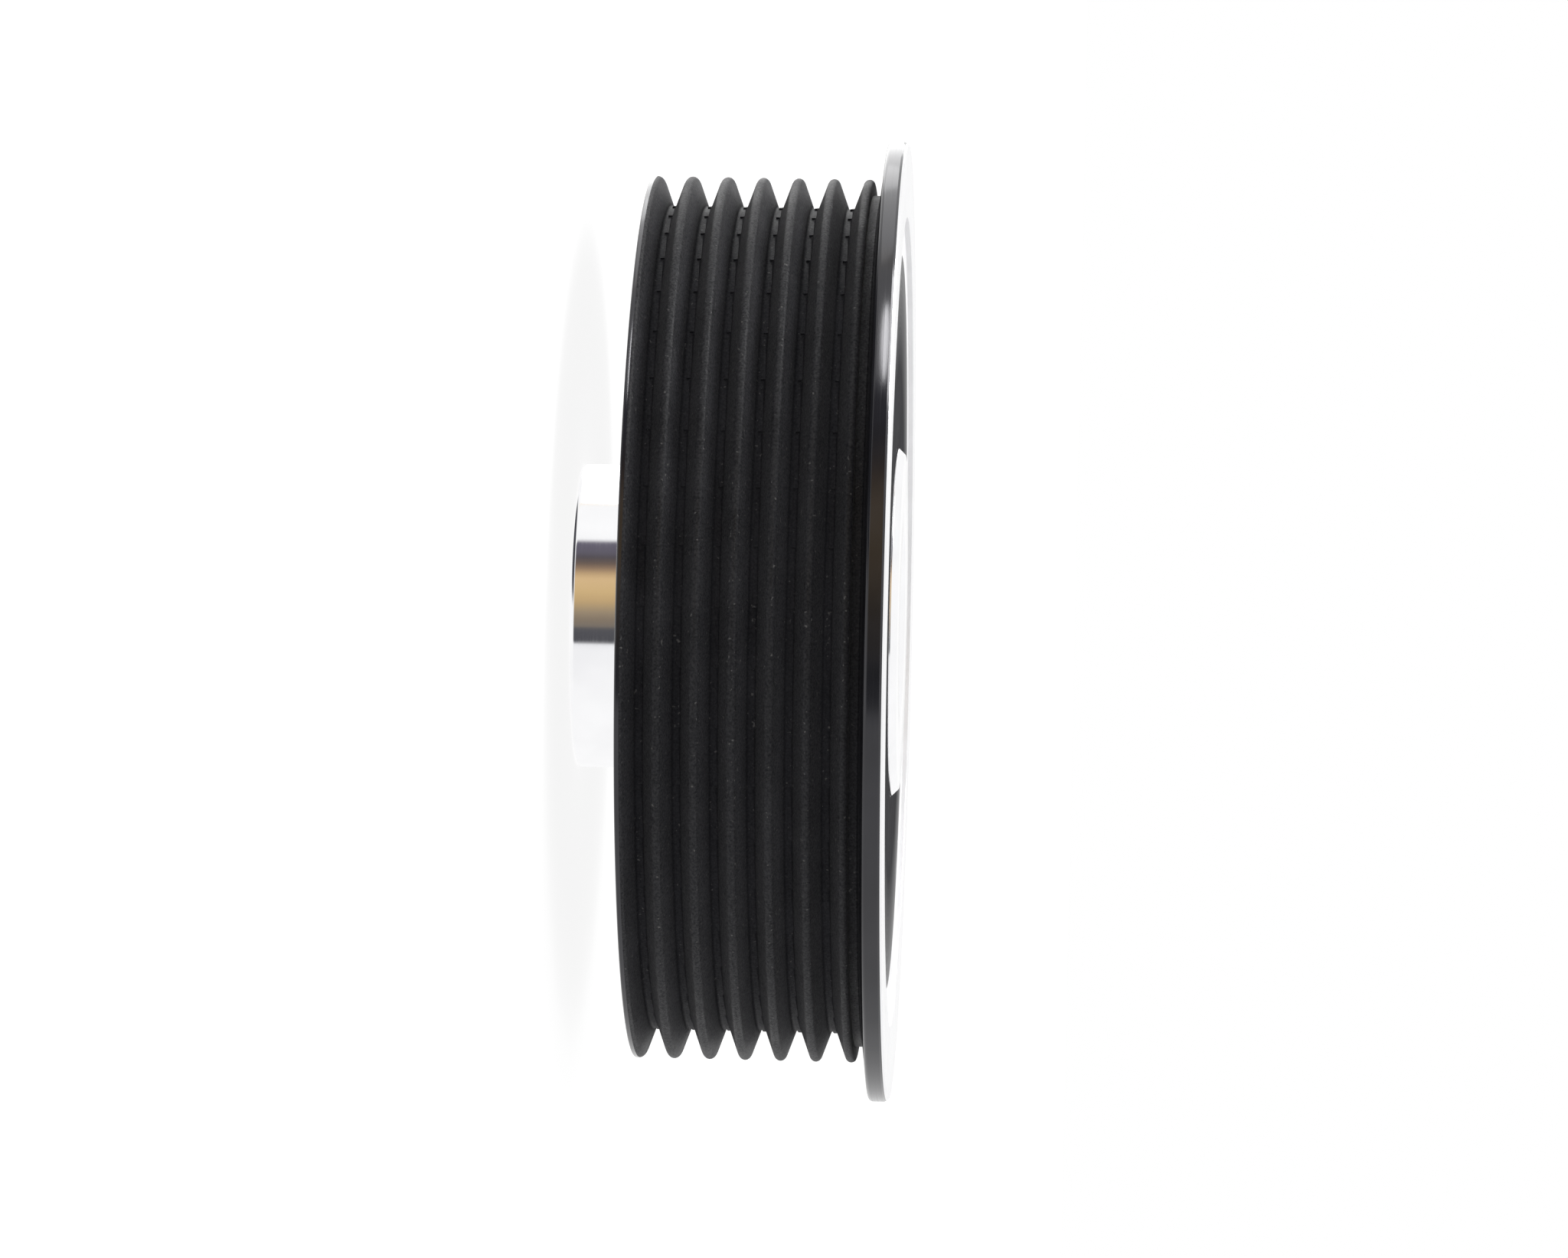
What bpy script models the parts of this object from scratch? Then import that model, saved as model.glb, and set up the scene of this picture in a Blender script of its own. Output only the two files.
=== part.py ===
"""Six-groove ribbed belt pulley: a turned black body with a bright hub pressed into it.

Metres, +Z up. The pulley's axis is Z, and it stands on the end of the hub's snout at z = 0.
An outline is a closed loop of (radius, height) points, up the outer side and down the inner one.
"""

import math

import bmesh
import bpy
from mathutils import Vector

MM = 0.001
SEGMENTS = 72
FIT_GAP = 0.3 * MM
SHARP_ANGLE = math.radians(30.0)

# Belt track: the V profile of a ribbed belt, whose ribs are 3.56 mm apart
GROOVE_COUNT = 6
GROOVE_PITCH = 3.56 * MM
GROOVE_ANGLE = math.radians(40.0)
GROOVE_DEPTH = 3.05 * MM
RIB_TIP_DIAMETER = 88.9 * MM
RIB_TIP_ROUNDING = 0.5 * MM
TIP_ARC_STEPS = 4
FIRST_RIB_LAND = 0.39 * MM
LAST_RIB_LAND = 0.42 * MM

# Flange, with a turned relief between it and the last rib
RELIEF_WIDTH = 0.87 * MM
RELIEF_DEPTH = 1.6 * MM
FLANGE_HEIGHT = 3.85 * MM
FLANGE_ROOT_THICKNESS = 2.56 * MM
FLANGE_TAPER = math.radians(6.5)
FLANGE_ROUNDING = 0.45 * MM
FLANGE_ARC_STEPS = 4
RIM_CHAMFER_WIDTH = 0.42 * MM
RIM_CHAMFER_ANGLE = math.radians(35.0)

# Front recess, the pocket behind the web, and the boss that holds the hub
RIM_LAND_WIDTH = 7.55 * MM
RECESS_DEPTH = 0.55 * MM
RIM_WALL = 4.5 * MM
WEB_THICKNESS = 9.0 * MM
POCKET_WIDTH = 9.5 * MM
POCKET_ROUNDING = 1.5 * MM
POCKET_ARC_STEPS = 3
EDGE_BREAK = 0.4 * MM

# Hub: a snout through the body, a head in the front counterbore, and the shaft's bore
BORE_DIAMETER = 17.0 * MM
BORE_CHAMFER = 0.8 * MM
SNOUT_DIAMETER = 30.6 * MM
SNOUT_LENGTH = 6.6 * MM
SNOUT_ROUNDING = 0.5 * MM
SNOUT_ARC_STEPS = 4
HEAD_DIAMETER = 35.0 * MM
HEAD_THICKNESS = 3.2 * MM
HEAD_CHAMFER = 0.65 * MM
HEAD_STANDS_PROUD = 0.25 * MM

# Heights of the body's faces, worked out from the sizes above
END_FACE = SNOUT_LENGTH
FIRST_CREST = END_FACE + FIRST_RIB_LAND
LAST_CREST = FIRST_CREST + GROOVE_COUNT * GROOVE_PITCH
LAST_RIB_SIDE = LAST_CREST + LAST_RIB_LAND
FLANGE_ROOT = LAST_RIB_SIDE + RELIEF_WIDTH
FRONT_FACE = FLANGE_ROOT + FLANGE_ROOT_THICKNESS
RECESS_FLOOR = FRONT_FACE - RECESS_DEPTH
POCKET_FLOOR = RECESS_FLOOR - WEB_THICKNESS
HUB_TOP = FRONT_FACE + HEAD_STANDS_PROUD
HEAD_UNDERSIDE = HUB_TOP - HEAD_THICKNESS

# Radii worked out the same way
RIB_TIP = RIB_TIP_DIAMETER / 2
GROOVE_ROOT = RIB_TIP - GROOVE_DEPTH
RELIEF = RIB_TIP - RELIEF_DEPTH
FLANGE = RIB_TIP + FLANGE_HEIGHT
RECESS = FLANGE - RIM_LAND_WIDTH
SNOUT = SNOUT_DIAMETER / 2
HEAD = HEAD_DIAMETER / 2
BORE = BORE_DIAMETER / 2
BODY_BORE = SNOUT + FIT_GAP
COUNTERBORE = HEAD + FIT_GAP
POCKET = GROOVE_ROOT - RIM_WALL
BOSS = POCKET - POCKET_WIDTH


def arc(center, size, start, end, steps):
    """Points on an arc about center, at angles in radians from the outward direction."""
    angles = [start + (end - start) * step / steps for step in range(steps + 1)]
    return [(center[0] + size * math.cos(angle), center[1] + size * math.sin(angle)) for angle in angles]


def rib_radius(offset):
    """Radius of a rib's surface at a height offset from its crest."""
    flank = GROOVE_ANGLE / 2
    round_end = RIB_TIP_ROUNDING * math.cos(flank)
    round_center = RIB_TIP - RIB_TIP_ROUNDING
    if abs(offset) <= round_end:
        return round_center + math.sqrt(RIB_TIP_ROUNDING**2 - offset**2)
    flank_top = round_center + RIB_TIP_ROUNDING * math.sin(flank)
    return max(flank_top - (abs(offset) - round_end) / math.tan(flank), GROOVE_ROOT)


def root_offset():
    """Height from a crest to where its flank meets the flat bottom of the groove."""
    flank = GROOVE_ANGLE / 2
    flank_top = RIB_TIP - RIB_TIP_ROUNDING * (1 - math.sin(flank))
    return RIB_TIP_ROUNDING * math.cos(flank) + (flank_top - GROOVE_ROOT) * math.tan(flank)


def belt_track():
    """The seven ribs. The end face cuts the first and the relief cuts the last."""
    reach = math.pi / 2 - GROOVE_ANGLE / 2
    points = [(rib_radius(FIRST_RIB_LAND), END_FACE)]
    for rib in range(GROOVE_COUNT + 1):
        crest = FIRST_CREST + rib * GROOVE_PITCH
        tip_center = (RIB_TIP - RIB_TIP_ROUNDING, crest)
        rib_points = arc(tip_center, RIB_TIP_ROUNDING, -reach, reach, TIP_ARC_STEPS)
        rib_points.insert(0, (GROOVE_ROOT, crest - root_offset()))
        rib_points.append((GROOVE_ROOT, crest + root_offset()))
        points += [point for point in rib_points if END_FACE < point[1] < LAST_RIB_SIDE]
    points.append((rib_radius(LAST_RIB_LAND), LAST_RIB_SIDE))
    return points


def flange_outline():
    """Relief, tapered flank, rounded corner and the chamfered front edge."""
    center_radius = FLANGE - FLANGE_ROUNDING
    flank_rise = (center_radius - RELIEF) * math.tan(FLANGE_TAPER)
    center = (center_radius, FLANGE_ROOT + flank_rise + FLANGE_ROUNDING / math.cos(FLANGE_TAPER))
    corner = arc(center, FLANGE_ROUNDING, FLANGE_TAPER - math.pi / 2, 0.0, FLANGE_ARC_STEPS)
    chamfer_depth = RIM_CHAMFER_WIDTH * math.tan(RIM_CHAMFER_ANGLE)
    relief = [(RELIEF, LAST_RIB_SIDE), (RELIEF, FLANGE_ROOT)]
    return relief + corner + [(FLANGE, FRONT_FACE - RIM_CHAMFER_WIDTH), (FLANGE - chamfer_depth, FRONT_FACE)]


def front_outline():
    """Front recess, counterbore for the hub's head and the bore for its snout."""
    seat = HEAD_UNDERSIDE - FIT_GAP
    return [
        (RECESS, FRONT_FACE),
        (RECESS, RECESS_FLOOR),
        (COUNTERBORE, RECESS_FLOOR),
        (COUNTERBORE, seat),
        (BODY_BORE, seat),
        (BODY_BORE, END_FACE),
    ]


def pocket_outline():
    """Boss and rim, with the pocket that lightens the body between them."""
    boss_center = (BOSS + POCKET_ROUNDING, POCKET_FLOOR - POCKET_ROUNDING)
    rim_center = (POCKET - POCKET_ROUNDING, POCKET_FLOOR - POCKET_ROUNDING)
    boss_edge = [(BOSS - EDGE_BREAK, END_FACE), (BOSS, END_FACE + EDGE_BREAK)]
    boss_corner = arc(boss_center, POCKET_ROUNDING, math.pi, math.pi / 2, POCKET_ARC_STEPS)
    rim_corner = arc(rim_center, POCKET_ROUNDING, math.pi / 2, 0.0, POCKET_ARC_STEPS)
    rim_edge = [(POCKET, END_FACE + EDGE_BREAK), (POCKET + EDGE_BREAK, END_FACE)]
    return boss_edge + boss_corner + rim_corner + rim_edge


def hub_outline():
    """Snout with a rounded end, chamfered head and the bore with its two chamfers."""
    round_center = (SNOUT - SNOUT_ROUNDING, SNOUT_ROUNDING)
    snout = arc(round_center, SNOUT_ROUNDING, -math.pi / 2, 0.0, SNOUT_ARC_STEPS)
    head = [
        (SNOUT, HEAD_UNDERSIDE),
        (HEAD, HEAD_UNDERSIDE),
        (HEAD, HUB_TOP - HEAD_CHAMFER),
        (HEAD - HEAD_CHAMFER, HUB_TOP),
    ]
    bore = [
        (BORE + BORE_CHAMFER, HUB_TOP),
        (BORE, HUB_TOP - BORE_CHAMFER),
        (BORE, BORE_CHAMFER),
        (BORE + BORE_CHAMFER, 0.0),
    ]
    return snout + head + bore


def make_material(name, color, metallic, roughness):
    material = bpy.data.materials.new(name)
    material.use_nodes = True
    shader = material.node_tree.nodes["Principled BSDF"]
    shader.inputs["Base Color"].default_value = (*color, 1.0)
    shader.inputs["Metallic"].default_value = metallic
    shader.inputs["Roughness"].default_value = roughness
    return material


def turn(name, outline, material):
    """Spins a closed outline about Z into one solid, as a lathe would cut it."""
    bm = bmesh.new()
    verts = [bm.verts.new((radius, 0.0, height)) for radius, height in outline]
    edges = [bm.edges.new(pair) for pair in zip(verts, verts[1:] + verts[:1])]
    bmesh.ops.spin(
        bm,
        geom=verts + edges,
        cent=Vector((0.0, 0.0, 0.0)),
        axis=Vector((0.0, 0.0, 1.0)),
        angle=math.tau,
        steps=SEGMENTS,
        use_merge=True,
    )
    bmesh.ops.recalc_face_normals(bm, faces=bm.faces)
    mesh = bpy.data.meshes.new(name)
    bm.to_mesh(mesh)
    bm.free()
    mesh.shade_smooth()
    mesh.set_sharp_from_angle(angle=SHARP_ANGLE)
    mesh.materials.append(material)
    item = bpy.data.objects.new(name, mesh)
    bpy.context.scene.collection.objects.link(item)
    return item


def main():
    for item in list(bpy.data.objects):
        bpy.data.objects.remove(item, do_unlink=True)
    anodised = make_material("black_anodised_aluminium", (0.022, 0.022, 0.025), 0.4, 0.42)
    polished = make_material("polished_steel", (0.80, 0.80, 0.81), 1.0, 0.12)
    body_outline = belt_track() + flange_outline() + front_outline() + pocket_outline()
    turn("pulley_body", body_outline, anodised)
    turn("hub", hub_outline(), polished)


main()
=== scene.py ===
"""Looks, light and camera for the six-groove ribbed belt pulley.

The row frame: metres, +Z along the pulley's axis, standing on the snout's end at z = 0.
The photograph shows the axis lying level, so the camera is turned: up in the picture is -X, right is +Z.
"""

import math

import bpy
from mathutils import Matrix, Vector


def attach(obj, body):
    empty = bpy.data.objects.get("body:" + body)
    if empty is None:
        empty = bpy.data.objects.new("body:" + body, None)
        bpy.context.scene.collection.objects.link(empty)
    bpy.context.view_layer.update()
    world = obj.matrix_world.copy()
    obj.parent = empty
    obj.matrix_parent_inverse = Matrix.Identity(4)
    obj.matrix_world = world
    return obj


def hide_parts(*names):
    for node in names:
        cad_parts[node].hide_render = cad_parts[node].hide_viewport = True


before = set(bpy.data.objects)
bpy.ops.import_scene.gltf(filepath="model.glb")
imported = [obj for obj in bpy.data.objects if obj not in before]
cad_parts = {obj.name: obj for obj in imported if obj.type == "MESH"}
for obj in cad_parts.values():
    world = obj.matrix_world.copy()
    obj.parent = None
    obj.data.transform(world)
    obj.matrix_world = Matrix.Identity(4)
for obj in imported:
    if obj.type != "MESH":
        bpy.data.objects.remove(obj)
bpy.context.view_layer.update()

MM = 0.001

# Belt track
RIB_COUNT = 7
RIB_PITCH = 3.56 * MM
FLANK_ANGLE = math.radians(20.0)
GROOVE_DEPTH = 3.05 * MM
RIB_TIP = 44.45 * MM
GROOVE_ROOT = RIB_TIP - GROOVE_DEPTH
TIP_ROUNDING = 0.5 * MM
ROOT_ROUNDING = 0.3 * MM
FIRST_CREST = 6.99 * MM
CUT_EDGE_ROUNDING = 0.1 * MM

# Towards the end face the first rib's tip is nearly flat: it keeps the share LAND_CROWN of its curve
# as far as LAND_WIDTH from the crest, and all of it again at FIRST_RIB_LAND
FIRST_RIB_LAND = 0.39 * MM
LAND_WIDTH = 0.25 * MM
LAND_CROWN = 0.04

# Body faces, as heights and radii
END_FACE = 6.6 * MM
LAST_RIB_SIDE = 28.77 * MM
FLANGE_ROOT = 29.64 * MM
FRONT_FACE = 32.2 * MM
RECESS_FLOOR = 31.65 * MM
POCKET_FLOOR = 22.65 * MM
RELIEF = 42.85 * MM
FLANGE = 48.3 * MM
RECESS = 40.75 * MM
POCKET = 36.9 * MM
BOSS = 27.4 * MM
FLANGE_TAPER = math.radians(6.5)
RIM_CHAMFER_HEIGHT = 0.42 * MM
RIM_CHAMFER_DEPTH = 0.29 * MM
EDGE_BREAK = 0.4 * MM

# Roundings of the body's and the hub's corners
RELIEF_ROUNDING = 0.15 * MM
FLANGE_ROUNDING = 0.45 * MM
RIM_CHAMFER_ROUNDING = 0.04 * MM
POCKET_ROUNDING = 1.5 * MM
SMALL_EDGE = 0.08 * MM

# Hub
BORE = 8.5 * MM
BORE_CHAMFER = 0.8 * MM
SNOUT = 15.3 * MM
SNOUT_ROUNDING = 0.5 * MM
HEAD = 17.5 * MM
HEAD_UNDERSIDE = 29.25 * MM
HEAD_CHAMFER = 0.65 * MM
HUB_TOP = 32.45 * MM
BODY_BORE = 15.6 * MM
COUNTERBORE = 17.8 * MM
COUNTERBORE_SEAT = 28.95 * MM

# Grip pads in the grooves
PADS_PER_TURN = 45
FIRST_PAD_ANGLE = math.radians(3.98)
PAD_GAP_SHARE = 0.06
PAD_WIDTH = 0.56 * MM
PAD_RISE = 0.17 * MM
PAD_FROM_CREST = 2.02 * MM

# How fine the skins are, and the small circle that outlines are swept round
BODY_AROUND = 288
HUB_AROUND = 256
CORNER_STEPS = 6
RIB_CORNER_STEPS = [1, 4, 16, 4, 1]
PAD_ARC_POINTS = 8
MERGE_DISTANCE = 0.002 * MM
SHARP_ANGLE = math.radians(30.0)
AXIS_CIRCLE = 1.0 * MM

# Where the body's finishes meet
ZONE_MARGIN = 0.05 * MM
FACE_MARGIN = 0.005 * MM
GLOSS_EDGE = 0.3 * MM
GLOSS_PAST_CREST = 0.045 * MM
FLOOR_EDGE = 3.8 * MM

# Belt track's colours; the flanks' pair is paler than the crests', which is painted haze of light.
# Its grain and clouds mix each pair, by these shares
CREST_COLORS = ((0.008, 0.008, 0.0095), (0.028, 0.028, 0.031))
PAINTED_HAZE_FLANK_COLORS = ((0.018, 0.018, 0.021), (0.043, 0.043, 0.049))
GRAIN_IN_COLOR = 0.6
CLOUD_IN_COLOR = 0.4

# Radii between which a groove's bottom gives way to its flank, and what changes there: how much of the
# flanks' painted haze the track takes, less at the bottom as painted shade, and its sheen, which is lower
# at the bottom to stand in for shade
OFF_ROOT = (GROOVE_ROOT + 0.2 * MM, GROOVE_ROOT + 0.5 * MM)
PAINTED_HAZE_TAKEN = (0.5, 1.0)
TRACK_SHEEN = (0.045, 0.15)

# The grain makes the sheen weaker or stronger by these factors, and reaches them at these of its values
SPARKLE = (0.4, 1.6)
SPARKLE_GRAIN = (0.35, 0.65)

# Pale flecks begin and are full at these values of their noise
FLECK_NOISE = (0.7, 0.76)
FLECK_COVER = 0.5
FLECK_COLOR = (0.16, 0.155, 0.15)

# The track's roughness, its lathe marks in the bump beside the grain, and its velvet sheen as a share of
# the plain one
TRACK_ROUGHNESS = (0.48, 0.6)
MARKS_IN_BUMP = 0.6
VELVET_SHARE = 0.3
VELVET_ROUGHNESS = 0.5

# Smooth black anodising
GLOSS_IOR = 1.55
GLOSS_TINT = (0.97, 0.96, 1.0)

# Radii between which the recess turns from dull to satin, and what changes there
SATIN_RADII = (26.0 * MM, 37.0 * MM)
RECESS_SHINE = (0.04, 0.5)
ADDED_ROUGHNESS = (0.38, 0.0)
RING_ROUGHNESS = (0.34, 0.4)

# Most of a noise's values lie between these two
NOISE_LOW = 0.3
NOISE_HIGH = 0.7

WHITE = (1.0, 1.0, 1.0)


# node helpers

def add_node(tree, kind, **settings):
    node = tree.nodes.new(kind)
    for key, value in settings.items():
        setattr(node, key, value)
    return node


def fill(tree, socket, value):
    """Links a socket to another node's output, or sets it to a plain value."""
    if isinstance(value, bpy.types.NodeSocket):
        tree.links.new(value, socket)
    else:
        socket.default_value = value


def fill_color(tree, socket, color):
    """Links a socket to another node's colour, or sets it to a plain (red, green, blue)."""
    fill(tree, socket, color if isinstance(color, bpy.types.NodeSocket) else (*color, 1.0))


def calc(tree, operation, *values):
    node = add_node(tree, "ShaderNodeMath", operation=operation)
    for socket, value in zip(node.inputs, values):
        fill(tree, socket, value)
    return node.outputs[0]


def vector(tree, x=0.0, y=0.0, z=0.0):
    node = add_node(tree, "ShaderNodeCombineXYZ")
    for socket, value in zip(node.inputs, (x, y, z)):
        fill(tree, socket, value)
    return node.outputs[0]


def separate(tree, value):
    """The x, y and z of a vector."""
    node = add_node(tree, "ShaderNodeSeparateXYZ")
    tree.links.new(value, node.inputs[0])
    return list(node.outputs)


def radius_and_height(tree, place):
    """How far a place is from the Z axis, and how high it is."""
    x, y, height = separate(tree, place)
    squares = [calc(tree, "MULTIPLY", side, side) for side in (x, y)]
    return calc(tree, "SQRT", calc(tree, "ADD", *squares)), height


def spread(tree, value, low, high, from_low=NOISE_LOW, from_high=NOISE_HIGH):
    """Moves a value from one range, a noise's if none is given, into another and stops at its ends."""
    node = add_node(tree, "ShaderNodeMapRange")
    fill(tree, node.inputs["Value"], value)
    for name, number in (("From Min", from_low), ("From Max", from_high), ("To Min", low), ("To Max", high)):
        node.inputs[name].default_value = number
    return node.outputs[0]


def tint(tree, value, low_color, high_color):
    """A colour between two, by a value from 0 to 1. Each colour is plain or another node's output."""
    node = add_node(tree, "ShaderNodeMix", data_type="RGBA")
    fill(tree, node.inputs["Factor"], value)
    ends = [socket for socket in node.inputs if socket.type == "RGBA"]
    for socket, color in zip(ends, (low_color, high_color)):
        fill_color(tree, socket, color)
    return next(socket for socket in node.outputs if socket.type == "RGBA")


def mixed(tree, share, first, second):
    """The first shader where the share is 0, the second where it is 1."""
    node = add_node(tree, "ShaderNodeMixShader")
    for socket, source in zip(node.inputs, (share, first, second)):
        tree.links.new(source, socket)
    return node.outputs[0]


# geometry helpers

def new_tree(name, sizes):
    """A geometry tree with a mesh in, a mesh out and one named input for each (name, kind, value)."""
    tree = bpy.data.node_groups.new(name, "GeometryNodeTree")
    tree.interface.new_socket("Geometry", in_out="INPUT", socket_type="NodeSocketGeometry")
    tree.interface.new_socket("Geometry", in_out="OUTPUT", socket_type="NodeSocketGeometry")
    for label, kind, value in sizes:
        socket = tree.interface.new_socket(label, in_out="INPUT", socket_type=kind)
        socket.default_value = value
    return tree


def pick(tree, kind, index, choices):
    """One of the choices, by the point's index."""
    node = add_node(tree, "GeometryNodeIndexSwitch", data_type=kind)
    while len(node.index_switch_items) < len(choices):
        node.index_switch_items.new()
    fill(tree, node.inputs[0], index)
    for slot, choice in enumerate(choices):
        fill(tree, node.inputs[slot + 1], choice)
    return node.outputs[0]


def step(tree, kind, geometry, source="Geometry", result="Geometry", settings=None, **values):
    """Adds one geometry node behind another and gives back its output socket."""
    node = add_node(tree, kind, **(settings or {}))
    fill(tree, node.inputs[source], geometry)
    for name, value in values.items():
        fill(tree, node.inputs[name.replace("_", " ")], value)
    return node.outputs[result]


def rounded(tree, outline, steps, rounding):
    """Rounds each corner of an outline in so many steps, and gives back its edges."""
    curve = step(tree, "GeometryNodeMeshToCurve", outline, source="Mesh", result="Curve")
    fillet = step(tree, "GeometryNodeFilletCurve", curve, source="Curve", result="Curve",
                  settings={"mode": "POLY"}, Count=steps, Radius=rounding)
    return step(tree, "GeometryNodeCurveToMesh", fillet, source="Curve", result="Mesh")


def own_rounding(tree):
    """The rounding that outline_mesh stored at each corner."""
    node = add_node(tree, "GeometryNodeInputNamedAttribute", data_type="FLOAT")
    node.inputs["Name"].default_value = "rounding"
    return node.outputs["Attribute"]


def turn_round_axis(tree, outline, around):
    """Sweeps an outline of (radius, height) points once round the Z axis.

    The sweep lays it on a small circle, so it is moved in by that circle's radius first.
    """
    moved = step(tree, "GeometryNodeTransform", outline,
                 Translation=(-AXIS_CIRCLE, 0.0, 0.0), Scale=(1.0, -1.0, 1.0))
    curve = step(tree, "GeometryNodeMeshToCurve", moved, source="Mesh", result="Curve")
    circle = add_node(tree, "GeometryNodeCurvePrimitiveCircle")
    fill(tree, circle.inputs["Resolution"], around)
    circle.inputs["Radius"].default_value = AXIS_CIRCLE
    sweep = add_node(tree, "GeometryNodeCurveToMesh")
    tree.links.new(circle.outputs["Curve"], sweep.inputs["Curve"])
    tree.links.new(curve, sweep.inputs["Profile Curve"])
    return sweep.outputs["Mesh"]


def copies(tree, item, count, start, offset, turn=(0.0, 0.0, 0.0)):
    """Copies of an item from a start, each one offset further and turned by its own turn."""
    line = add_node(tree, "GeometryNodeMeshLine")
    for name, value in (("Count", count), ("Start Location", start), ("Offset", offset)):
        fill(tree, line.inputs[name], value)
    placed = add_node(tree, "GeometryNodeInstanceOnPoints")
    tree.links.new(line.outputs["Mesh"], placed.inputs["Points"])
    tree.links.new(item, placed.inputs["Instance"])
    fill(tree, placed.inputs["Rotation"], turn)
    return placed.outputs["Instances"]


def within(tree, value, low, high):
    """1 where the value is between two limits, else 0."""
    above = calc(tree, "GREATER_THAN", value, low)
    below = calc(tree, "LESS_THAN", value, high)
    return calc(tree, "MULTIPLY", above, below)


def finish_surface(tree, mesh, materials):
    """Realizes the mesh and paints zones: (material, None) for all of it, or (material, (r, r, z, z))."""
    result = step(tree, "GeometryNodeRealizeInstances", mesh)
    radius, height = radius_and_height(tree, add_node(tree, "GeometryNodeInputPosition").outputs[0])
    for material, zone in materials:
        node = add_node(tree, "GeometryNodeSetMaterial")
        node.inputs["Material"].default_value = material
        tree.links.new(result, node.inputs["Geometry"])
        if zone:
            in_radius = within(tree, radius, zone[0], zone[1])
            in_height = within(tree, height, zone[2], zone[3])
            tree.links.new(calc(tree, "MULTIPLY", in_radius, in_height), node.inputs["Selection"])
        result = node.outputs["Geometry"]
    out = add_node(tree, "NodeGroupOutput")
    tree.links.new(result, out.inputs["Geometry"])


def outline_mesh(name, corners, closed):
    """Edges through (radius, height, rounding) corners."""
    count = len(corners)
    edges = [(i, (i + 1) % count) for i in range(count if closed else count - 1)]
    mesh = bpy.data.meshes.new(name)
    mesh.from_pydata([(radius, height, 0.0) for radius, height, _ in corners], edges, [])
    rounding = mesh.attributes.new("rounding", "FLOAT", "POINT")
    rounding.data.foreach_set("value", [corner[2] for corner in corners])
    item = bpy.data.objects.new(name, mesh)
    bpy.context.scene.collection.objects.link(item)
    return item


def signed_volume(mesh):
    """Six times the volume, below 0 where the faces look inward."""
    mesh.calc_loop_triangles()
    points = mesh.vertices
    return sum(
        points[t.vertices[0]].co.dot(points[t.vertices[1]].co.cross(points[t.vertices[2]].co))
        for t in mesh.loop_triangles
    )


def make_plain(item, tree, sizes):
    """Runs a tree on an object with these sizes and keeps the result as a plain mesh, faces outward."""
    modifier = item.modifiers.new(tree.name, "NODES")
    modifier.node_group = tree
    for socket in tree.interface.items_tree:
        if socket.in_out == "INPUT" and socket.name in sizes:
            modifier[socket.identifier] = sizes[socket.name]
    graph = bpy.context.evaluated_depsgraph_get()
    mesh = bpy.data.meshes.new_from_object(item.evaluated_get(graph), depsgraph=graph)
    item.modifiers.remove(modifier)
    if signed_volume(mesh) < 0:
        mesh.flip_normals()
    mesh.shade_smooth()
    mesh.set_sharp_from_angle(angle=SHARP_ANGLE)
    mesh.name = item.name
    item.data = mesh


# material helpers

def new_material(name, metallic):
    material = bpy.data.materials.new(name)
    material.use_nodes = True
    shader = material.node_tree.nodes["Principled BSDF"]
    shader.inputs["Metallic"].default_value = metallic
    return material, material.node_tree, shader


def object_point(tree):
    return add_node(tree, "ShaderNodeTexCoord").outputs["Object"]


def lathe_point(tree):
    """(radius, height, 0): the same all the way round, as marks from a lathe are."""
    return vector(tree, *radius_and_height(tree, object_point(tree)))


def noise(tree, point, scale, detail, roughness=0.5):
    node = add_node(tree, "ShaderNodeTexNoise")
    tree.links.new(point, node.inputs["Vector"])
    node.inputs["Scale"].default_value = scale
    node.inputs["Detail"].default_value = detail
    node.inputs["Roughness"].default_value = roughness
    return node.outputs[0]


def bump(tree, shader, height, distance, strength):
    node = add_node(tree, "ShaderNodeBump")
    tree.links.new(height, node.inputs["Height"])
    node.inputs["Distance"].default_value = distance
    node.inputs["Strength"].default_value = strength
    tree.links.new(node.outputs["Normal"], shader.inputs["Normal"])


def clouded(tree, shader, low_color, high_color, scale, detail):
    """A base colour that drifts between two in soft clouds."""
    cloud = noise(tree, object_point(tree), scale, detail)
    tree.links.new(tint(tree, spread(tree, cloud, 0.0, 1.0), low_color, high_color),
                   shader.inputs["Base Color"])


def lathe_marks(tree, shader, scale, detail, roughness, distance, strength):
    """Fine rings round the axis, in the roughness and in the bump."""
    marks = noise(tree, lathe_point(tree), scale, detail)
    tree.links.new(spread(tree, marks, *roughness), shader.inputs["Roughness"])
    bump(tree, shader, marks, distance, strength)


# materials

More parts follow.
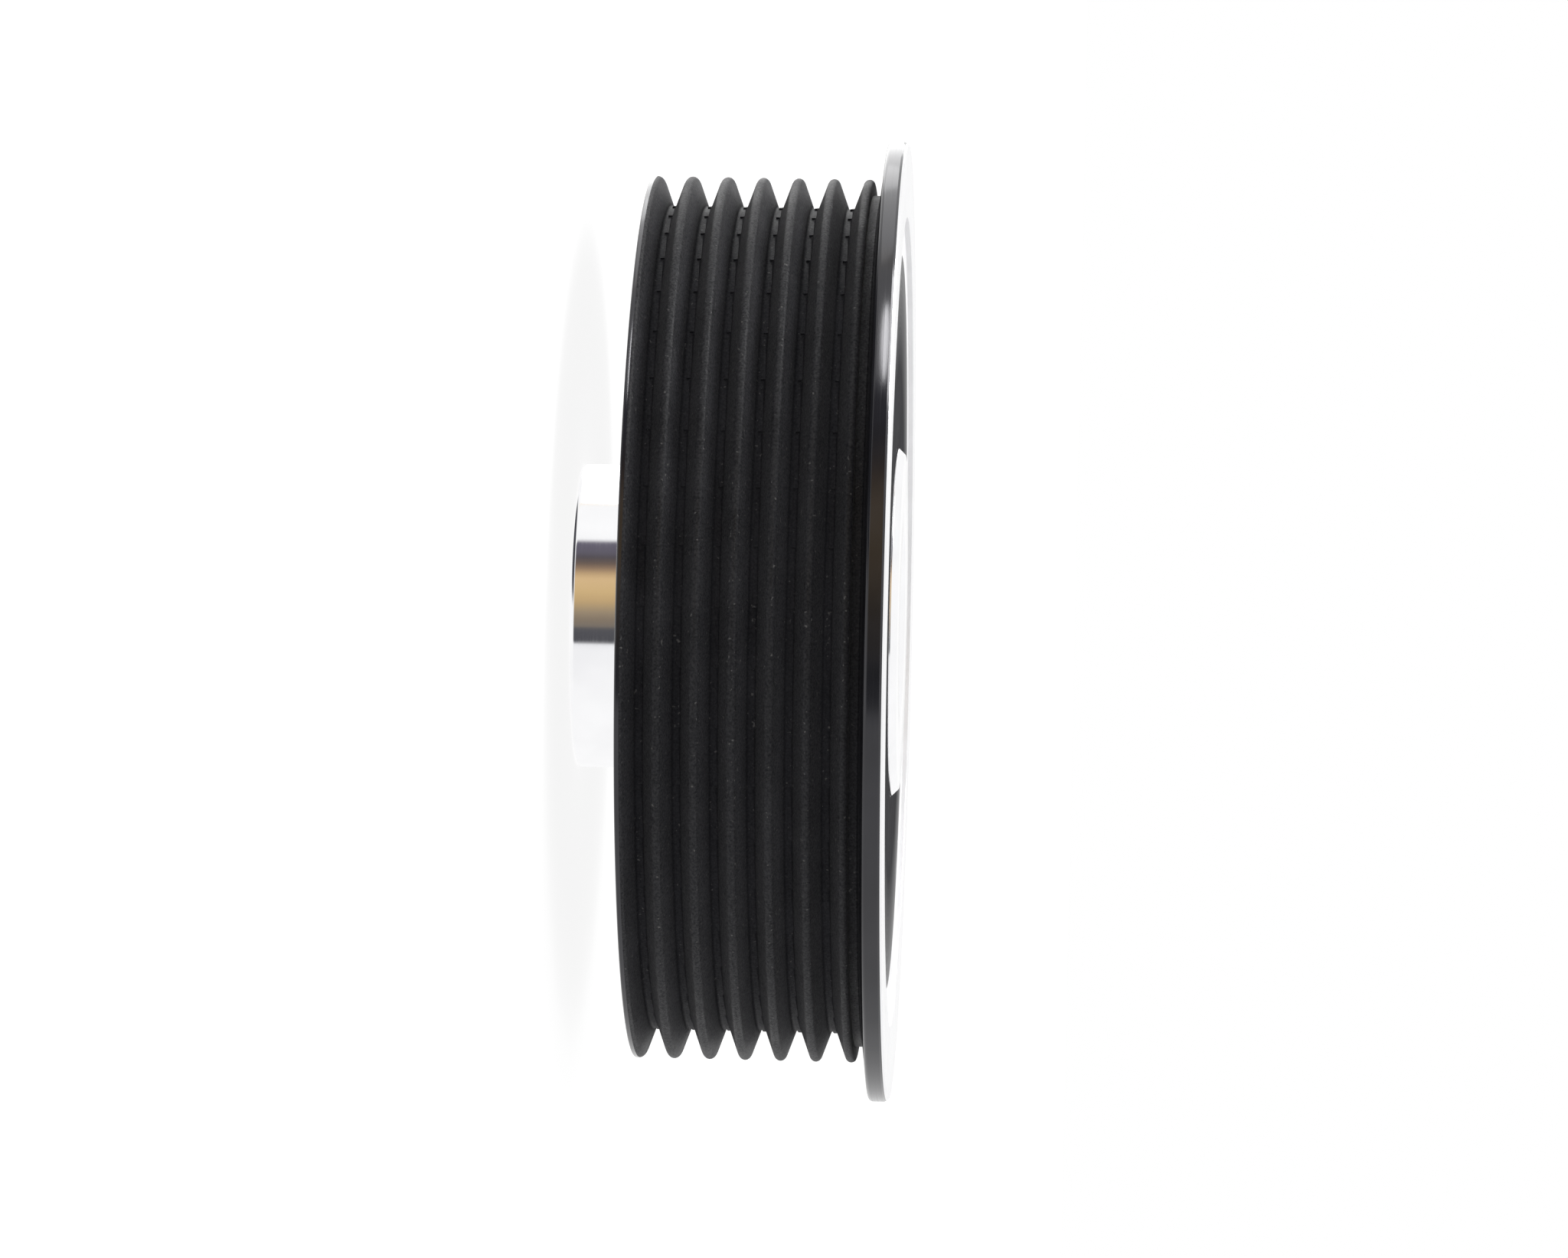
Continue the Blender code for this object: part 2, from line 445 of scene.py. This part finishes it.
def track_finish():
    """Matte charcoal anodising with a fine blasted grain and a few pale flecks.

    It is darkest on the crests and pales down the flanks, which is painted haze of light. The bottoms of the
    grooves take only half that paling and less sheen, which is painted shade.
    """
    material, tree, shader = new_material("matte charcoal belt track", metallic=0.0)
    point = object_point(tree)
    grain = noise(tree, point, scale=4500.0, detail=3.0, roughness=0.65)
    flecks = noise(tree, point, scale=2400.0, detail=1.0)
    cloud = noise(tree, point, scale=160.0, detail=2.0)
    marks = noise(tree, lathe_point(tree), scale=5200.0, detail=2.0)
    radius, _ = radius_and_height(tree, point)

    # Painted haze of light: the colour pales from the crest down the flank. Painted shade: a groove's bottom
    # takes only half of that paling
    down_flank = spread(tree, radius, 1.0, 0.0, from_low=OFF_ROOT[1], from_high=RIB_TIP)
    haze_and_root_shade = calc(tree, "MULTIPLY", down_flank, spread(tree, radius, *PAINTED_HAZE_TAKEN, *OFF_ROOT))
    grain_shade = calc(tree, "MULTIPLY", spread(tree, grain, 0.0, 1.0), GRAIN_IN_COLOR)
    cloud_shade = calc(tree, "MULTIPLY", spread(tree, cloud, 0.0, 1.0), CLOUD_IN_COLOR)
    shade = calc(tree, "ADD", grain_shade, cloud_shade)
    track_color = tint(tree, haze_and_root_shade, tint(tree, shade, *CREST_COLORS), tint(tree, shade, *PAINTED_HAZE_FLANK_COLORS))
    fleck = spread(tree, flecks, 0.0, FLECK_COVER, *FLECK_NOISE)
    tree.links.new(tint(tree, fleck, track_color, FLECK_COLOR), shader.inputs["Base Color"])

    # Sheen lower at a groove's bottom, standing in for the shade there
    sheen = spread(tree, radius, *TRACK_SHEEN, *OFF_ROOT)
    sparkle = spread(tree, grain, *SPARKLE, *SPARKLE_GRAIN)
    grainy_sheen = calc(tree, "MULTIPLY", sheen, sparkle)
    tree.links.new(grainy_sheen, shader.inputs["Specular IOR Level"])
    tree.links.new(calc(tree, "MULTIPLY", grainy_sheen, VELVET_SHARE), shader.inputs["Sheen Weight"])
    shader.inputs["Sheen Roughness"].default_value = VELVET_ROUGHNESS
    tree.links.new(spread(tree, cloud, *TRACK_ROUGHNESS), shader.inputs["Roughness"])
    height = calc(tree, "ADD", grain, calc(tree, "MULTIPLY", marks, MARKS_IN_BUMP))
    bump(tree, shader, height, distance=0.024 * MM, strength=0.7)
    return material


def gloss_finish():
    """Smooth black anodising on turned metal, with faint marks from the lathe."""
    material, tree, shader = new_material("gloss black turned faces", metallic=0.0)
    shader.inputs["IOR"].default_value = GLOSS_IOR
    fill_color(tree, shader.inputs["Specular Tint"], GLOSS_TINT)
    clouded(tree, shader, (0.009, 0.009, 0.011), (0.017, 0.017, 0.02), scale=220.0, detail=3.0)
    lathe_marks(tree, shader, scale=7000.0, detail=2.0, roughness=(0.1, 0.18),
                distance=0.002 * MM, strength=0.3)
    return material


def recess_finish():
    """Black with rings left by the turning tool: dark and dull near the hub, satin further out."""
    material, tree, shader = new_material("satin black recess", metallic=0.0)
    clouded(tree, shader, (0.012, 0.012, 0.014), (0.02, 0.02, 0.023), scale=240.0, detail=2.0)
    radius, _ = radius_and_height(tree, object_point(tree))
    shine = spread(tree, radius, *RECESS_SHINE, *SATIN_RADII)
    tree.links.new(shine, shader.inputs["Specular IOR Level"])
    rings = noise(tree, lathe_point(tree), scale=3800.0, detail=1.0)
    added = spread(tree, radius, *ADDED_ROUGHNESS, *SATIN_RADII)
    roughness = calc(tree, "ADD", added, spread(tree, rings, *RING_ROUGHNESS))
    tree.links.new(roughness, shader.inputs["Roughness"])
    bump(tree, shader, rings, distance=0.006 * MM, strength=0.3)
    return material


def bright_rim_finish():
    """Bare aluminium where the flange's front edge is cut after anodising."""
    material, tree, shader = new_material("bright cut rim", metallic=1.0)
    clouded(tree, shader, (0.885, 0.885, 0.895), (0.92, 0.92, 0.93), scale=300.0, detail=2.0)
    lathe_marks(tree, shader, scale=9000.0, detail=2.0, roughness=(0.14, 0.26),
                distance=0.006 * MM, strength=0.4)
    return material


def cut_wall_finish():
    """Bare aluminium with a fine matte cut, on the recess's wall and the outer edge of its floor."""
    material, tree, shader = new_material("matte cut aluminium", metallic=0.3)
    clouded(tree, shader, (0.8, 0.8, 0.81), (0.84, 0.84, 0.85), scale=300.0, detail=2.0)
    lathe_marks(tree, shader, scale=8000.0, detail=2.0, roughness=(0.4, 0.52),
                distance=0.003 * MM, strength=0.3)
    return material


def hub_finish():
    """Polished metal with the last fine marks of the lathe."""
    material, tree, shader = new_material("polished hub metal", metallic=1.0)
    clouded(tree, shader, (0.92, 0.92, 0.93), (0.96, 0.96, 0.97), scale=260.0, detail=2.0)
    lathe_marks(tree, shader, scale=6000.0, detail=3.0, roughness=(0.05, 0.11),
                distance=0.001 * MM, strength=0.3)
    return material


TRACK = track_finish()
GLOSS = gloss_finish()
MATTE_RECESS = recess_finish()
BRIGHT = bright_rim_finish()
CUT_WALL = cut_wall_finish()
HUB_METAL = hub_finish()


# pulley body

def one_rib(tree, given):
    """One rib and half a groove on each side of it, with its crest at height 0."""
    sine = calc(tree, "SINE", given["Flank Angle"])
    tangent = calc(tree, "TANGENT", given["Flank Angle"])
    tip_center = calc(tree, "SUBTRACT", given["Rib Tip Radius"], given["Tip Rounding"])
    apex = calc(tree, "ADD", tip_center, calc(tree, "DIVIDE", given["Tip Rounding"], sine))
    root = calc(tree, "SUBTRACT", given["Rib Tip Radius"], given["Groove Depth"])
    foot = calc(tree, "MULTIPLY", calc(tree, "SUBTRACT", apex, root), tangent)
    half_pitch = calc(tree, "MULTIPLY", given["Rib Pitch"], 0.5)
    corners = [
        vector(tree, root, calc(tree, "MULTIPLY", half_pitch, -1.0)),
        vector(tree, root, calc(tree, "MULTIPLY", foot, -1.0)),
        vector(tree, apex, 0.0),
        vector(tree, root, foot),
        vector(tree, root, half_pitch),
    ]
    roundings = [0.0, given["Root Rounding"], given["Tip Rounding"], given["Root Rounding"], 0.0]

    line = add_node(tree, "GeometryNodeMeshLine")
    line.inputs["Count"].default_value = len(corners)
    index = add_node(tree, "GeometryNodeInputIndex").outputs[0]
    outline = step(tree, "GeometryNodeSetPosition", line.outputs["Mesh"],
                   Position=pick(tree, "VECTOR", index, corners))
    return rounded(tree, outline, pick(tree, "INT", index, RIB_CORNER_STEPS),
                   pick(tree, "FLOAT", index, roundings))


def trimmed(tree, given, track):
    """Cuts the ribs at the end face and the relief, and flattens the outer half of the first tip."""
    place_radius, place_height, _ = separate(tree, add_node(tree, "GeometryNodeInputPosition").outputs[0])
    rounding = given["Cut Edge Rounding"]
    past_end = calc(tree, "SMOOTH_MAX", place_height, given["End Face"], rounding)
    height = calc(tree, "SMOOTH_MIN", past_end, given["Last Rib Side"], rounding)
    beyond = calc(tree, "GREATER_THAN", place_height, given["Last Rib Side"])
    lowest = calc(tree, "MULTIPLY", beyond, given["Relief Radius"])
    radius = calc(tree, "MAXIMUM", place_radius, lowest)

    from_crest = calc(tree, "SUBTRACT", place_height, given["First Crest"])
    curve_kept = spread(tree, from_crest, 1.0, LAND_CROWN, from_low=-FIRST_RIB_LAND, from_high=-LAND_WIDTH)
    drop = calc(tree, "SUBTRACT", given["Rib Tip Radius"], radius)
    flattened = calc(tree, "SUBTRACT", given["Rib Tip Radius"], calc(tree, "MULTIPLY", drop, curve_kept))
    on_land = calc(tree, "MULTIPLY", calc(tree, "LESS_THAN", from_crest, 0.0),
                   calc(tree, "LESS_THAN", drop, given["Tip Rounding"]))
    change = calc(tree, "MULTIPLY", on_land, calc(tree, "SUBTRACT", flattened, radius))
    radius = calc(tree, "ADD", radius, change)
    return step(tree, "GeometryNodeSetPosition", track, Position=vector(tree, radius, height))


def body_zones():
    """The body's finishes, each painted over those before it."""
    chamfer_middle = FRONT_FACE - 0.5 * RIM_CHAMFER_HEIGHT
    wall_start = RECESS - 2.0 * ZONE_MARGIN
    wall_end = RECESS + ZONE_MARGIN
    floor_low = RECESS_FLOOR - ZONE_MARGIN
    floor_high = RECESS_FLOOR + ZONE_MARGIN
    tip_end = RIB_TIP + ZONE_MARGIN
    return [
        (GLOSS, None),
        (TRACK, (GROOVE_ROOT - ZONE_MARGIN, tip_end, END_FACE + FACE_MARGIN, FLANGE_ROOT - FACE_MARGIN)),
        (GLOSS, (RIB_TIP - GLOSS_EDGE, tip_end, END_FACE, FIRST_CREST + GLOSS_PAST_CREST)),
        (MATTE_RECESS, (COUNTERBORE, RECESS - FLOOR_EDGE, floor_low, floor_high)),
        (BRIGHT, (wall_start, FLANGE + ZONE_MARGIN, chamfer_middle, FRONT_FACE + ZONE_MARGIN)),
        (CUT_WALL, (wall_start, wall_end, floor_low, FRONT_FACE - ZONE_MARGIN)),
        (CUT_WALL, (RECESS - FLOOR_EDGE, wall_end, floor_low, floor_high)),
    ]


def body_tree():
    """One rib drawn from its sizes, repeated along the axis, cut at both ends and turned with the rest."""
    length = "NodeSocketFloat"
    tree = new_tree("ribbed body", [
        ("Rib Count", "NodeSocketInt", RIB_COUNT),
        ("Rib Pitch", length, RIB_PITCH),
        ("Rib Tip Radius", length, RIB_TIP),
        ("Groove Depth", length, GROOVE_DEPTH),
        ("Flank Angle", length, FLANK_ANGLE),
        ("Tip Rounding", length, TIP_ROUNDING),
        ("Root Rounding", length, ROOT_ROUNDING),
        ("First Crest", length, FIRST_CREST),
        ("End Face", length, END_FACE),
        ("Last Rib Side", length, LAST_RIB_SIDE),
        ("Relief Radius", length, RELIEF),
        ("Cut Edge Rounding", length, CUT_EDGE_ROUNDING),
        ("Corner Steps", "NodeSocketInt", CORNER_STEPS),
        ("Around", "NodeSocketInt", BODY_AROUND),
    ])
    given = add_node(tree, "NodeGroupInput").outputs
    ribs = copies(tree, one_rib(tree, given), given["Rib Count"],
                  start=vector(tree, 0.0, given["First Crest"]), offset=vector(tree, 0.0, given["Rib Pitch"]))
    track = trimmed(tree, given, step(tree, "GeometryNodeRealizeInstances", ribs))
    rest = rounded(tree, given["Geometry"], given["Corner Steps"], own_rounding(tree))
    joined = add_node(tree, "GeometryNodeJoinGeometry")
    tree.links.new(track, joined.inputs["Geometry"])
    tree.links.new(rest, joined.inputs["Geometry"])
    outline = step(tree, "GeometryNodeMergeByDistance", joined.outputs["Geometry"], Distance=MERGE_DISTANCE)
    finish_surface(tree, turn_round_axis(tree, outline, given["Around"]), body_zones())
    return tree


def body_corners():
    """The rest of the body's outline, from the relief round the front and back to the end face."""
    taper_rise = (FLANGE - RELIEF) * math.tan(FLANGE_TAPER)
    return [
        (RELIEF, LAST_RIB_SIDE, 0.0),
        (RELIEF, FLANGE_ROOT, RELIEF_ROUNDING),
        (FLANGE, FLANGE_ROOT + taper_rise, FLANGE_ROUNDING),
        (FLANGE, FRONT_FACE - RIM_CHAMFER_HEIGHT, RIM_CHAMFER_ROUNDING),
        (FLANGE - 0.5 * RIM_CHAMFER_DEPTH, FRONT_FACE - 0.5 * RIM_CHAMFER_HEIGHT, 0.0),
        (FLANGE - RIM_CHAMFER_DEPTH, FRONT_FACE, RIM_CHAMFER_ROUNDING),
        (RECESS, FRONT_FACE, SMALL_EDGE),
        (RECESS, RECESS_FLOOR, SMALL_EDGE),
        (RECESS - FLOOR_EDGE, RECESS_FLOOR, 0.0),
        (COUNTERBORE, RECESS_FLOOR, SMALL_EDGE),
        (COUNTERBORE, COUNTERBORE_SEAT, 0.0),
        (BODY_BORE, COUNTERBORE_SEAT, SMALL_EDGE),
        (BODY_BORE, END_FACE, SMALL_EDGE),
        (BOSS - EDGE_BREAK, END_FACE, SMALL_EDGE),
        (BOSS, END_FACE + EDGE_BREAK, SMALL_EDGE),
        (BOSS, POCKET_FLOOR, POCKET_ROUNDING),
        (POCKET, POCKET_FLOOR, POCKET_ROUNDING),
        (POCKET, END_FACE + EDGE_BREAK, SMALL_EDGE),
        (POCKET + EDGE_BREAK, END_FACE, SMALL_EDGE),
        (GROOVE_ROOT, END_FACE, 0.0),
    ]


body = outline_mesh("pulley_skin", body_corners(), closed=False)
make_plain(body, body_tree(), {"Rib Count": RIB_COUNT, "Around": BODY_AROUND})
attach(body, "root")
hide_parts("pulley_body")


# grip pads

def pad_ramp(tree, given, swept):
    """One pad: a strip whose top climbs from the groove's bottom to the full rise at its far end."""
    arc = add_node(tree, "GeometryNodeCurveArc")
    arc.inputs["Resolution"].default_value = PAD_ARC_POINTS
    tree.links.new(given["Root Radius"], arc.inputs["Radius"])
    tree.links.new(given["First Pad Angle"], arc.inputs["Start Angle"])
    tree.links.new(swept, arc.inputs["Sweep Angle"])
    along = add_node(tree, "GeometryNodeSplineParameter").outputs["Factor"]
    to_go = calc(tree, "SUBTRACT", 1.0, along)
    drop = calc(tree, "DIVIDE", calc(tree, "MULTIPLY", given["Pad Rise"], to_go), given["Root Radius"])
    shrink = add_node(tree, "ShaderNodeVectorMath", operation="SCALE")
    tree.links.new(add_node(tree, "GeometryNodeInputPosition").outputs[0], shrink.inputs[0])
    tree.links.new(calc(tree, "SUBTRACT", 1.0, drop), shrink.inputs["Scale"])
    ramp = step(tree, "GeometryNodeSetPosition", arc.outputs["Curve"], Position=shrink.outputs[0])
    section = add_node(tree, "GeometryNodeCurvePrimitiveQuadrilateral")
    tree.links.new(calc(tree, "MULTIPLY", given["Pad Rise"], 2.0), section.inputs["Width"])
    tree.links.new(given["Pad Width"], section.inputs["Height"])
    return step(tree, "GeometryNodeCurveToMesh", ramp, source="Curve", result="Mesh",
                Profile_Curve=section.outputs["Curve"], Fill_Caps=True)


def pad_tree():
    """Low ramps along one side of every groove, each ending in a small step."""
    length = "NodeSocketFloat"
    tree = new_tree("grip pads", [
        ("Groove Count", "NodeSocketInt", RIB_COUNT - 1),
        ("Groove Pitch", length, RIB_PITCH),
        ("Pads Per Turn", "NodeSocketInt", PADS_PER_TURN),
        ("First Pad Angle", length, FIRST_PAD_ANGLE),
        ("Gap Share", length, PAD_GAP_SHARE),
        ("Pad Width", length, PAD_WIDTH),
        ("Pad Rise", length, PAD_RISE),
        ("Root Radius", length, GROOVE_ROOT),
        ("First Pad Height", length, FIRST_CREST + PAD_FROM_CREST),
    ])
    given = add_node(tree, "NodeGroupInput").outputs
    spacing = calc(tree, "DIVIDE", math.tau, given["Pads Per Turn"])
    swept = calc(tree, "MULTIPLY", spacing, calc(tree, "SUBTRACT", 1.0, given["Gap Share"]))
    index = add_node(tree, "GeometryNodeInputIndex").outputs[0]
    ring = copies(tree, pad_ramp(tree, given, swept), given["Pads Per Turn"],
                  start=(0.0, 0.0, 0.0), offset=(0.0, 0.0, 0.0),
                  turn=vector(tree, z=calc(tree, "MULTIPLY", index, spacing)))
    rows = copies(tree, ring, given["Groove Count"],
                  start=vector(tree, z=given["First Pad Height"]),
                  offset=vector(tree, z=given["Groove Pitch"]))
    finish_surface(tree, rows, [(TRACK, None)])
    return tree


pads = outline_mesh("grip_pads", [(GROOVE_ROOT, FIRST_CREST, 0.0)], closed=False)
make_plain(pads, pad_tree(), {"Pads Per Turn": PADS_PER_TURN})
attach(pads, "root")


# hub

def hub_tree():
    """The hub's outline with its corners rounded, turned round the axis."""
    tree = new_tree("turned hub", [
        ("Around", "NodeSocketInt", HUB_AROUND),
        ("Corner Steps", "NodeSocketInt", CORNER_STEPS),
    ])
    given = add_node(tree, "NodeGroupInput").outputs
    outline = rounded(tree, given["Geometry"], given["Corner Steps"], own_rounding(tree))
    finish_surface(tree, turn_round_axis(tree, outline, given["Around"]), [(HUB_METAL, None)])
    return tree


HUB_CORNERS = [
    (SNOUT, 0.0, SNOUT_ROUNDING),
    (SNOUT, HEAD_UNDERSIDE, 0.0),
    (HEAD, HEAD_UNDERSIDE, SMALL_EDGE),
    (HEAD, HUB_TOP - HEAD_CHAMFER, SMALL_EDGE),
    (HEAD - HEAD_CHAMFER, HUB_TOP, SMALL_EDGE),
    (BORE + BORE_CHAMFER, HUB_TOP, SMALL_EDGE),
    (BORE, HUB_TOP - BORE_CHAMFER, SMALL_EDGE),
    (BORE, BORE_CHAMFER, SMALL_EDGE),
    (BORE + BORE_CHAMFER, 0.0, SMALL_EDGE),
]

hub = outline_mesh("hub_skin", HUB_CORNERS, closed=True)
make_plain(hub, hub_tree(), {"Around": HUB_AROUND, "Corner Steps": CORNER_STEPS})
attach(hub, "root")
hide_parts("hub")


# floor and room

FLOOR_SIZE = 60.0
FLOOR_COLOR = (0.8, 0.8, 0.8)
FLOOR_ROUGHNESS = 0.9

# The camera sees this share of the floor as its own glow, and the rest as a floor with a shadow on it
FLOOR_GLOW_SHARE = 0.78
FLOOR_GLOW = 1.15


def studio_floor():
    """Pale floor that keeps a light shadow of the pulley."""
    bpy.ops.mesh.primitive_plane_add(size=FLOOR_SIZE, location=(0.0, 0.0, 0.0))
    floor = bpy.context.object
    floor.name = "studio_floor"
    material = bpy.data.materials.new("white studio floor")
    material.use_nodes = True
    tree = material.node_tree
    shader = tree.nodes["Principled BSDF"]
    fill_color(tree, shader.inputs["Base Color"], FLOOR_COLOR)
    shader.inputs["Roughness"].default_value = FLOOR_ROUGHNESS
    glow = add_node(tree, "ShaderNodeEmission")
    fill_color(tree, glow.inputs["Color"], WHITE)
    glow.inputs["Strength"].default_value = FLOOR_GLOW
    path = add_node(tree, "ShaderNodeLightPath")
    seen = calc(tree, "MAXIMUM", path.outputs["Is Camera Ray"],
                calc(tree, "MAXIMUM", path.outputs["Is Glossy Ray"], path.outputs["Is Transmission Ray"]))
    share = calc(tree, "MULTIPLY", seen, FLOOR_GLOW_SHARE)
    surface = mixed(tree, share, shader.outputs[0], glow.outputs[0])
    tree.links.new(surface, tree.nodes["Material Output"].inputs["Surface"])
    floor.data.materials.append(material)
    floor.visible_glossy = False
    floor.visible_diffuse = False
    floor.visible_shadow = False


# What the gloss sees round the axis: degrees from the camera's side towards up in the picture
ROOM_BANDS = [
    (-180.0, (1.0, 1.0, 1.0)),
    (-70.0, (1.0, 1.0, 1.0)),
    (-25.0, (0.92, 0.92, 0.93)),
    (-21.0, (0.86, 0.86, 0.88)),
    (-19.3, (0.07, 0.07, 0.08)),
    (-9.0, (0.09, 0.09, 0.1)),
    (-7.0, (0.2, 0.17, 0.14)),
    (-2.0, (0.24, 0.19, 0.14)),
    (3.0, (0.32, 0.25, 0.17)),
    (7.0, (0.42, 0.31, 0.18)),
    (12.0, (0.55, 0.38, 0.19)),
    (19.0, (0.64, 0.45, 0.22)),
    (29.0, (0.7, 0.49, 0.26)),
    (33.0, (0.54, 0.37, 0.2)),
    (37.0, (0.3, 0.2, 0.13)),
    (41.0, (0.15, 0.11, 0.09)),
    (46.0, (0.09, 0.08, 0.09)),
    (50.0, (0.12, 0.11, 0.14)),
    (58.5, (0.13, 0.12, 0.16)),
    (61.0, (1.0, 1.0, 1.0)),
    (93.0, (1.0, 1.0, 1.0)),
    (95.0, (0.98, 0.93, 0.87)),
    (99.0, (0.98, 0.93, 0.87)),
    (101.0, (1.0, 1.0, 1.0)),
    (180.0, (1.0, 1.0, 1.0)),
]

# The bands fade to white between these shares of the way towards the axis
BAND_REACH = (0.35, 0.6)

# A dark card beside the snout's end comes in between these shares of the way to that side and upwards
CARD_STARTS = (-0.6, -0.7)
CARD_UPWARD = (0.1, 0.25)
CARD_COLOR = (0.06, 0.06, 0.07)

# The tent's strengths on matte surfaces, and how far towards the flange's side each one holds
TENT_ON_MATTE = (0.5, 0.95)
TENT_SIDES = (-0.7, 0.3)


def band_color(tree, angle):
    """The colour of the room's bands at an angle round the axis."""
    ramp = add_node(tree, "ShaderNodeValToRGB")
    tree.links.new(calc(tree, "ADD", calc(tree, "DIVIDE", angle, math.tau), 0.5), ramp.inputs[0])
    stops = ramp.color_ramp.elements
    while len(stops) < len(ROOM_BANDS):
        stops.new(1.0)
    for stop, (degrees, color) in zip(stops, ROOM_BANDS):
        stop.position = (degrees + 180.0) / 360.0
        stop.color = (*color, 1.0)
    return ramp.outputs["Color"]


def background(tree, color, strength=1.0):
    node = add_node(tree, "ShaderNodeBackground")
    fill_color(tree, node.inputs["Color"], color)
    fill(tree, node.inputs["Strength"], strength)
    return node.outputs[0]


def studio_room():
    """White tent: white to the camera, banded to gloss, and plain and softer to matte surfaces."""
    world = bpy.data.worlds.new("studio tent")
    bpy.context.scene.world = world
    world.use_nodes = True
    tree = world.node_tree
    tree.nodes.clear()
    x, y, z = separate(tree, add_node(tree, "ShaderNodeTexCoord").outputs["Generated"])
    upward = calc(tree, "MULTIPLY", x, -1.0)
    towards_camera = calc(tree, "MULTIPLY", y, -1.0)

    along_axis = spread(tree, calc(tree, "ABSOLUTE", z), 0.0, 1.0, *BAND_REACH)
    bands = band_color(tree, calc(tree, "ARCTAN2", upward, towards_camera))
    room = tint(tree, along_axis, bands, WHITE)
    beside_snout = spread(tree, z, 0.0, 1.0, *CARD_STARTS)
    card = calc(tree, "MULTIPLY", beside_snout, spread(tree, upward, 0.0, 1.0, *CARD_UPWARD))

    to_matte = background(tree, WHITE, spread(tree, z, *TENT_ON_MATTE, *TENT_SIDES))
    to_gloss = background(tree, tint(tree, card, room, CARD_COLOR))
    path = add_node(tree, "ShaderNodeLightPath")
    seen_directly = calc(tree, "MAXIMUM", path.outputs["Is Camera Ray"], path.outputs["Is Transmission Ray"])
    around = mixed(tree, path.outputs["Is Glossy Ray"], to_matte, to_gloss)
    out = add_node(tree, "ShaderNodeOutputWorld")
    tree.links.new(mixed(tree, seen_directly, around, background(tree, WHITE)), out.inputs["Surface"])


# Lamps: degrees from the camera's side towards up in the picture, degrees towards the flange's side,
# width and length in metres, power in watts, and whether matte surfaces see the lamp
LAMPS = [
    ("narrow top softbox", 68.5, 0.0, 0.34, 0.08, 0.95, False),
    ("upper back softbox", 116.0, -4.0, 0.75, 0.36, 0.65, False),
    ("side softbox", 92.0, 46.0, 0.5, 0.4, 4.0, True),
    ("back softbox", 146.0, -4.0, 0.75, 0.6, 1.7, True),
]
LAMP_DISTANCE = 0.9


def softbox(name, angle, sideways, width, length, power, on_matte):
    """Oval area lamp that faces the pulley."""
    lamp = bpy.data.lights.new(name, "AREA")
    lamp.shape = "ELLIPSE"
    lamp.size = width
    lamp.size_y = length
    lamp.energy = power
    item = bpy.data.objects.new(name, lamp)
    bpy.context.scene.collection.objects.link(item)
    item.visible_diffuse = on_matte
    angle = math.radians(angle)
    sideways = math.radians(sideways)
    direction = Vector((-math.sin(angle) * math.cos(sideways), -math.cos(angle) * math.cos(sideways),
                        math.sin(sideways)))
    across = Vector((0.0, 0.0, 1.0)).cross(direction).normalized()
    turn = Matrix((across, direction.cross(across), direction)).transposed()
    item.matrix_world = Matrix.Translation(direction * LAMP_DISTANCE) @ turn.to_4x4()


studio_floor()
studio_room()
for lamp in LAMPS:
    softbox(*lamp)


# camera

# Fitted to the photograph. The turns are in radians
CAMERA_PLACE = Vector((-12.06, -650.0, 50.797)) * MM
CAMERA_YAW = -0.04655
CAMERA_PITCH = -0.02
CAMERA_ROLL = 0.02048
FOCAL_PIXELS = 8418.016
PHOTO_WIDTH = 2048
SENSOR_WIDTH = 36.0
NEAREST_SEEN = 0.01
FARTHEST_SEEN = 100.0


def place_camera():
    """Yaw, pitch and roll in the picture's own axes: right is +Z, away is +Y and up is -X."""
    away = Vector((math.sin(CAMERA_YAW) * math.cos(CAMERA_PITCH),
                   math.cos(CAMERA_YAW) * math.cos(CAMERA_PITCH), math.sin(CAMERA_PITCH)))
    level = Vector((math.cos(CAMERA_YAW), -math.sin(CAMERA_YAW), 0.0))
    upright = level.cross(away)
    right = level * math.cos(CAMERA_ROLL) + upright * math.sin(CAMERA_ROLL)
    up = upright * math.cos(CAMERA_ROLL) - level * math.sin(CAMERA_ROLL)
    axes = [Vector((-axis.z, axis.y, axis.x)) for axis in (right, up, -away)]
    data = bpy.data.cameras.new("photo camera")
    data.sensor_width = SENSOR_WIDTH
    data.lens = FOCAL_PIXELS * SENSOR_WIDTH / PHOTO_WIDTH
    data.clip_start = NEAREST_SEEN
    data.clip_end = FARTHEST_SEEN
    camera = bpy.data.objects.new("photo camera", data)
    bpy.context.scene.collection.objects.link(camera)
    camera.matrix_world = Matrix.Translation(CAMERA_PLACE) @ Matrix(axes).transposed().to_4x4()
    bpy.context.scene.camera = camera


place_camera()
bpy.context.scene.view_settings.view_transform = "Standard"
